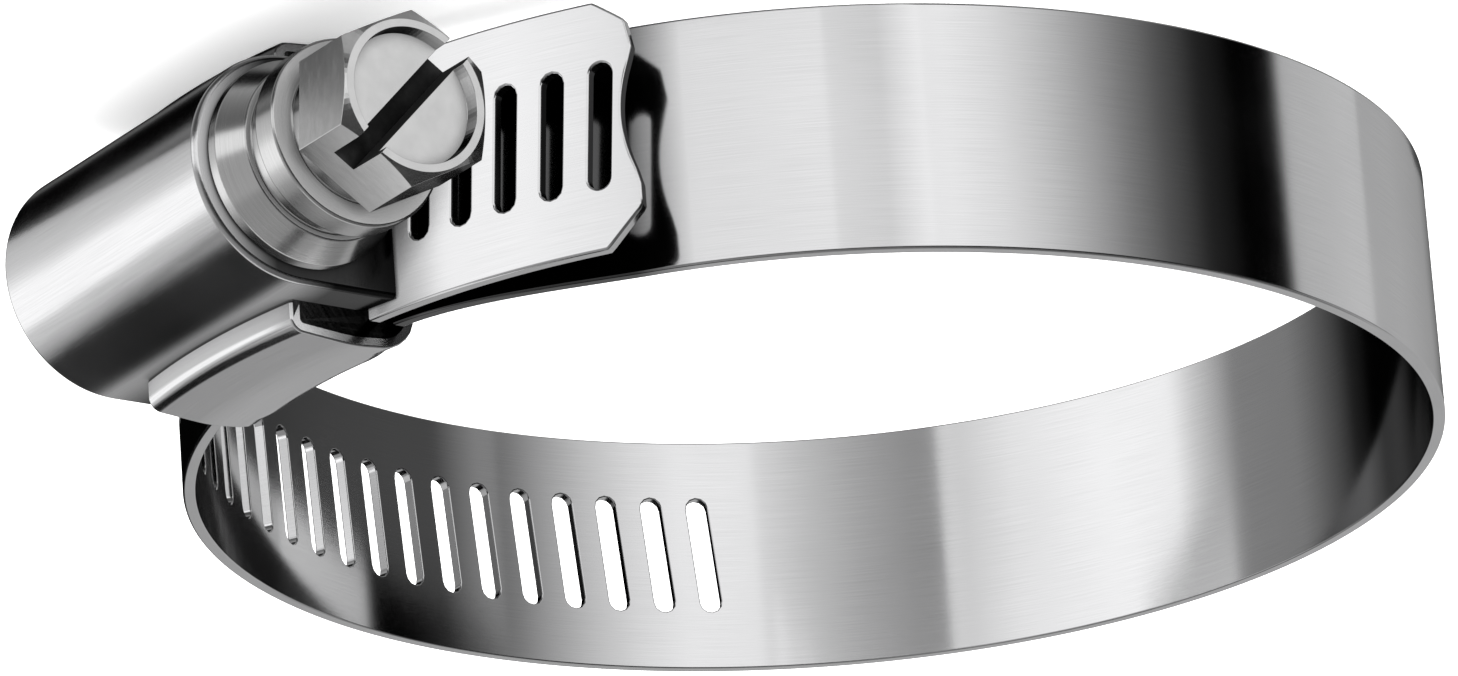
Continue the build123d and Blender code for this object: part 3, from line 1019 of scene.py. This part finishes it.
def build_shank():
    """Worm, shoulder, collar, neck and flange."""
    skin = Skin()
    turned(skin, [
        (SCREW_TIP, 0.02), (SCREW_TIP, WORM_ROOT_RADIUS - 0.9), (SCREW_TIP - TIP_CHAMFER, WORM_ROOT_RADIUS),
        (WORM_BACK, WORM_ROOT_RADIUS),
    ], [0, 0.2, 0.2, 0])
    step = THREAD_SLOPE_STEP
    rows = []
    for x in spaced(WORM_BACK, WORM_FRONT, 150):
        ring = []
        for s in spaced(0, 2 * pi, TURN_STEPS)[:-1]:
            r = worm_radius(x, s)
            along = (worm_radius(x + step, s) - worm_radius(x - step, s)) / (2 * step)
            round_it = (worm_radius(x, s + step / r) - worm_radius(x, s - step / r)) / (2 * step)
            aim = (-along, cos(s) + round_it * sin(s), sin(s) - round_it * cos(s))
            ring.append(skin.add((x, -AXIS_DISTANCE + r * cos(s), r * sin(s)), aim, (s * r, x)))
        rows.append(ring)
    skin.rows(rows, closed=True)
    turned(skin, [
        (WORM_FRONT, WORM_ROOT_RADIUS), (SHOULDER_FRONT + 0.7, WORM_CREST_RADIUS),
        (SHOULDER_FRONT, WORM_CREST_RADIUS), (SHOULDER_FRONT, NECK_RADIUS), (COLLAR_BACK, NECK_RADIUS),
        (COLLAR_BACK, COLLAR_RADIUS), (COLLAR_BACK - 0.75, COLLAR_RADIUS),
        (COLLAR_FRONT, NECK_RADIUS + 0.35), (COLLAR_FRONT, NECK_RADIUS),
        (FLANGE_BACK, NECK_RADIUS), (FLANGE_BACK, FLANGE_RADIUS), (FLANGE_FRONT, FLANGE_RADIUS),
        (FLANGE_FRONT, HEX_CORE_RADIUS), (HEX_BACK - 0.1, HEX_CORE_RADIUS),
    ], [0, 0.2, 0.2, 0.1, 0.1, 0.22, 0.3, 0.12, 0.1, 0.2, 0.16, 0.16, 0.1, 0])
    piece = skin.build("screw_shank", SCREW_STEEL)
    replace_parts(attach(piece, "screw"), "screw")


def solid_between(name, rings):
    """A closed solid over rings of points, for cutting and joining."""
    mesh = bmesh.new()
    rows = [[mesh.verts.new(Vector(p) * MM) for p in ring] for ring in rings]
    for one, two in zip(rows, rows[1:]):
        for i in range(len(one)):
            j = (i + 1) % len(one)
            mesh.faces.new((one[i], one[j], two[j], two[i]))
    mesh.faces.new(rows[0])
    mesh.faces.new(rows[-1])
    bmesh.ops.recalc_face_normals(mesh, faces=mesh.faces)
    data = bpy.data.meshes.new(name)
    mesh.to_mesh(data)
    mesh.free()
    made = bpy.data.objects.new(name, data)
    scene.collection.objects.link(made)
    return made


def around(x, radius, count, shift=0.0):
    """Points round the screw's axis."""
    return [
        (x, -AXIS_DISTANCE + radius * cos(s + shift), radius * sin(s + shift))
        for s in spaced(0, 2 * pi, count)[:-1]
    ]


def build_head():
    """The hex head: chamfered, with a round recess crossed by the driver slot."""
    hexagon = HEX_ACROSS_FLATS / 2 / cos(pi / 6)
    turn = -radians(HEX_ANGLE)
    head = solid_between("screw_head", [around(x, hexagon, 6, turn) for x in (HEAD_END, HEX_BACK)])
    head.data.materials.append(HEAD_STEEL)
    reach = 1.5
    blank = solid_between("blank", [
        around(HEAD_END, CHAMFER_START, TURN_STEPS),
        around(HEAD_END + reach * CHAMFER_SLOPE, CHAMFER_START + reach, TURN_STEPS),
        around(HEX_BACK + 1, CHAMFER_START + reach, TURN_STEPS),
    ])
    recess = solid_between("recess", [
        around(HEAD_END - 1, RECESS_RADIUS + RECESS_DRAFT, TURN_STEPS),
        around(HEAD_END + RECESS_DEPTH, RECESS_RADIUS - RECESS_DRAFT / 2, TURN_STEPS),
    ])
    spin = pi - radians(DRIVER_SLOT_ANGLE)
    long_way = Vector((0, cos(spin), sin(spin)))
    wide_way = Vector((0, -sin(spin), cos(spin)))
    half = DRIVER_SLOT_WIDTH / 2
    groove_rings = []
    for x, wide in ((HEAD_END - 1, half), (HEAD_END + DRIVER_SLOT_DEPTH, half - GROOVE_DRAFT)):
        groove_rings.append([
            Vector((x, -AXIS_DISTANCE, 0)) + long_way * a * 2 * FLANGE_RADIUS + wide_way * b * wide
            for a, b in ((-1, -1), (1, -1), (1, 1), (-1, 1))
        ])
    groove = solid_between("groove", groove_rings)
    # the slot's cut faces carry the near-black steel, painted shade
    groove.data.materials.append(GROOVE_SHADE_STEEL)
    for tool, operation in ((blank, "INTERSECT"), (recess, "DIFFERENCE"), (groove, "DIFFERENCE")):
        cut = head.modifiers.new(tool.name, "BOOLEAN")
        cut.operation = operation
        cut.solver = "EXACT"
        cut.material_mode = "TRANSFER"
        cut.object = tool
    bevel = head.modifiers.new("broken edges", "BEVEL")
    bevel.width = EDGE_BREAK * MM
    bevel.segments = 3
    bevel.limit_method = "ANGLE"
    bevel.angle_limit = radians(20)
    bevel.harden_normals = True
    head.data.shade_smooth()
    bpy.context.view_layer.update()
    shaped = bpy.data.meshes.new_from_object(head.evaluated_get(bpy.context.evaluated_depsgraph_get()))
    head.modifiers.clear()
    head.data = shaped
    for tool in (blank, recess, groove):
        bpy.data.objects.remove(tool)
    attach(head, "screw")


build_saddle()
build_housing()
build_shank()
build_head()
# the strip mirrors the studio alone, and not the housing and screw
for name in ("saddle_sheet", "housing_sheet", "screw_shank", "screw_head"):
    bpy.data.objects[name].visible_glossy = False

# ---------------- light and floor

ROOM_STRENGTH = 2.0
FLOOR_SPREAD = 8.0
FLOOR_GLOW = 0.4
ROUND_CARD_RADIUS = 65.0
ROUND_CARD_BOTTOM = -52.0


def glow_of(shown):
    """The light that bright steel needs to mirror for a given brightness on the picture."""
    return (shown**2.2) / 0.8


# what the steel mirrors, as (degrees to the right of the way back to the camera, shown brightness),
# for each belt of the room from below to above
BAND_BELT = [
    (-180, 0.02), (-132, 0.02), (-124, 0.14), (-114, 0.33), (-104, 0.46), (-88, 0.48), (-84, 0.62),
    (-77, 0.78), (-72, 0.93), (-56, 0.94), (-37, 0.88), (-27, 0.79), (-18, 0.86), (2, 0.88), (28, 0.9),
    (37, 0.84), (46, 0.74), (54, 0.62), (62, 0.47), (70, 0.32), (79, 0.15), (88, 0.03), (99, 0.02),
    (101, 0.66), (120, 0.71), (140, 0.62), (160, 0.55), (170, 0.4), (176, 0.02),
]
LOW_BELT = [
    (-180, 0.5), (-168, 0.45), (-158, 0.1), (-150, 0.03), (-128, 0.05), (-116, 0.6), (-95, 0.5),
    (-60, 0.3), (30, 0.25), (100, 0.5), (140, 0.65), (170, 0.6),
]
MIDDLE_BELT = [
    (-180, 0.6), (-172, 0.55), (-166, 0.25), (-158, 0.04), (-136, 0.04), (-124, 0.5), (-95, 0.7),
    (-60, 0.6), (-30, 0.55), (0, 0.3), (30, 0.12), (90, 0.15), (110, 0.5), (150, 0.6),
]
HIGH_BELT = [
    (-180, 0.5), (-174, 0.35), (-168, 0.02), (-120, 0.02), (-112, 0.5), (-60, 0.5), (60, 0.3), (140, 0.45),
]
# the heights between which one belt fades into the next, in degrees
BELT_EDGES = ((-33.0, -29.0), (-12.0, -9.0), (30.0, 34.0))


def make_belt(nodes, turn, stops):
    """Brightness round the room, from (angle, shown brightness) pairs."""
    ramp = nodes.add("ValToRGB")
    nodes.link(turn, ramp.inputs["Fac"])
    placed = sorted((((angle + CLOCK_OF_VIEW + 180) % 360) / 360, glow_of(shown)) for angle, shown in stops)
    ends = ramp.color_ramp.elements
    for end, (position, glow) in zip((ends[0], ends[1]), (placed[0], placed[-1])):
        end.position = position
        end.color = (glow, glow, glow, 1)
    for position, glow in placed[1:-1]:
        ends.new(position).color = (glow, glow, glow, 1)
    return ramp.outputs["Color"]


def add_world():
    """A white room to the eye, with belts of light and dark round it for the steel to mirror."""
    world = bpy.data.worlds.new("studio")
    scene.world = world
    world.use_nodes = True
    nodes = Nodes(world.node_tree)
    split = nodes.add("SeparateXYZ")
    nodes.link(nodes.add("TexCoord").outputs["Generated"], split.inputs[0])
    left, back = (nodes.maths("MULTIPLY", split.outputs[axis], -1) for axis in "XY")
    turn = nodes.spread(nodes.maths("ARCTAN2", left, back), -pi, pi)
    height = nodes.maths("ARCSINE", split.outputs["Z"])
    belts = [make_belt(nodes, turn, stops) for stops in (LOW_BELT, BAND_BELT, MIDDLE_BELT, HIGH_BELT)]
    shown = belts[0]
    for belt, (low, high) in zip(belts[1:], BELT_EDGES):
        mix = nodes.add("Mix", data_type="RGBA")
        nodes.link(nodes.spread(height, radians(low), radians(high)), mix.inputs["Factor"])
        nodes.link(shown, mix.inputs["A"])
        nodes.link(belt, mix.inputs["B"])
        shown = mix.outputs["Result"]
    mirrored = nodes.add("Background")
    nodes.link(shown, mirrored.inputs["Color"])
    room = nodes.add("Background")
    room.inputs["Color"].default_value = (1, 1, 1, 1)
    room.inputs["Strength"].default_value = ROOM_STRENGTH
    mix = nodes.add("MixShader")
    nodes.link(nodes.add("LightPath").outputs["Is Glossy Ray"], mix.inputs["Fac"])
    nodes.link(room.outputs[0], mix.inputs[1])
    nodes.link(mirrored.outputs[0], mix.inputs[2])
    nodes.link(mix.outputs[0], nodes.add("OutputWorld").inputs["Surface"])


def mirror_card(name, columns, levels):
    """A card that only the steel mirrors: (x, y, shown brightness) columns by (z, share of it) rows."""
    mesh = bpy.data.meshes.new(name)
    points = [Vector((x, y, z)) * MM for x, y, _ in columns for z, _ in levels]
    size = len(levels)
    faces = [
        (c * size + r, c * size + r + 1, (c + 1) * size + r + 1, (c + 1) * size + r)
        for c in range(len(columns) - 1) for r in range(size - 1)
    ]
    mesh.from_pydata(points, [], faces)
    glow = mesh.color_attributes.new("glow", "FLOAT_COLOR", "POINT")
    for i, (column, level) in enumerate((c, l) for c in columns for l in levels):
        value = glow_of(column[2]) * level[1]
        glow.data[i].color = (value, value, value, 1)
    material = bpy.data.materials.new(name)
    material.use_nodes = True
    nodes = Nodes(material.node_tree)
    light = nodes.add("Emission")
    nodes.link(nodes.add("VertexColor", layer_name="glow").outputs["Color"], light.inputs["Color"])
    nodes.link(light.outputs[0], nodes.add("OutputMaterial").inputs["Surface"])
    mesh.materials.append(material)
    card = bpy.data.objects.new(name, mesh)
    for kind in ("camera", "diffuse", "shadow", "transmission"):
        setattr(card, f"visible_{kind}", False)
    scene.collection.objects.link(card)


def flat_card(name, x, angle, reach, stops, levels):
    """A card across a clock angle from a place on the screw, with (place along it, brightness) stops."""
    way = outward(angle)
    middle_of_card = Vector((x, -AXIS_DISTANCE, 0)) + way * reach
    across = Vector((way.y, -way.x, 0))
    mirror_card(name, [(*(middle_of_card + across * side).xy, shown) for side, shown in stops], levels)


def round_card(name, stops, top):
    """A card bent round the clamp, with (clock angle, brightness) stops, up to a height."""
    columns = [(*(outward(angle) * ROUND_CARD_RADIUS).xy, shown) for angle, shown in stops]
    mirror_card(name, columns, [(ROUND_CARD_BOTTOM, 1), (top, 1)])


def add_cards():
    """Cards close to the clamp: they reach the housing, the head or the far strip's inside alone."""
    levels = [
        (-33, 0.4), (-26, 0.52), (-14, 0.62), (-8, 0.78), (-3, 1.0), (16, 1.0),
        (20, 0.6), (28, 0.5), (34, 0.3), (38, 0.1),
    ]
    flat_card("housing_card", -6, -56, 60, [(-22, 0.97), (26, 0.97)], levels)
    # for the end of the head, the collar and the housing's front wall
    stops = [(-9, 0.84), (3, 0.8), (9, 0.92)]
    flat_card("head_card", HEAD_END, CLOCK_OF_VIEW + 70, 27, stops, [(-22, 1), (2, 1)])
    # for the hexagon's near side, low enough over the housing that the barrel does not see it
    levels = [(12.8, 0.25), (16, 0.5), (20, 0.9), (32, 1.0)]
    mirror_card("hex_card", [(-4.3, -56, 0.84), (-4.3, -24, 0.84)], levels)
    # the inside of the far strip sees these from below the near strip
    round_card("inner_card", [(26, 0.52), (34, 0.55), (46, 0.63), (57, 0.72), (70, 0.83)], -20.5)
    stops = [(134, 0.49), (139, 0.49), (151, 0.27), (163, 0.27), (185, 0.25), (208, 0.22), (226, 0.22)]
    round_card("far_card", stops, -25.0)


def add_floor():
    """A plain pale floor that the clamp lies on."""
    mesh = bpy.data.meshes.new("floor")
    low, wide = CAD_BOX[0][2], FLOOR_SPREAD
    corners = [(x * wide, y * wide, low) for x, y in ((-1, -1), (1, -1), (1, 1), (-1, 1))]
    mesh.from_pydata(corners, [], [(0, 1, 2, 3)])
    material = bpy.data.materials.new("floor")
    material.use_nodes = True
    shader = material.node_tree.nodes["Principled BSDF"]
    shader.inputs["Base Color"].default_value = (0.97, 0.97, 0.97, 1)
    shader.inputs["Roughness"].default_value = 0.9
    shader.inputs["Specular IOR Level"].default_value = 0.0
    shader.inputs["Emission Color"].default_value = (1, 1, 1, 1)
    shader.inputs["Emission Strength"].default_value = FLOOR_GLOW
    mesh.materials.append(material)
    floor = bpy.data.objects.new("floor", mesh)
    floor.visible_glossy = False
    scene.collection.objects.link(floor)


add_cards()
add_world()
add_floor()
scene.view_settings.view_transform = "Standard"
